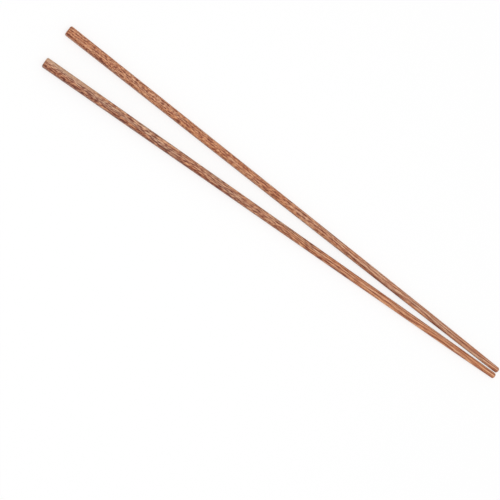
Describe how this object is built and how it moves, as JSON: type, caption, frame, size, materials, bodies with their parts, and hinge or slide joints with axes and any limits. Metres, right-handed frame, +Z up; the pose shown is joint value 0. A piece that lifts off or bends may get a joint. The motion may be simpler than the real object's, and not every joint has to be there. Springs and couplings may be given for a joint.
{
  "type": "pair of wooden chopsticks",
  "caption": "Long wooden chopsticks for cooking and hot pot: square handles with rounded corners that taper to round blunt tips, lying in a narrow V with the tips together.",
  "frame": {"origin": "centre of the pair's footprint, on the surface that the sticks lie on", "axes": "+X along the pair, from the butts to the tips; +Y towards the upper chopstick; +Z up"},
  "size_m": [0.42, 0.0362, 0.0074],
  "materials": {
    "wood": "satin, open-grained brown hardwood with fine dark streaks along the stick"
  },
  "bodies": {
    "root": {"upper_chopstick": "wood", "lower_chopstick": "wood"}
  },
  "joints": []
}
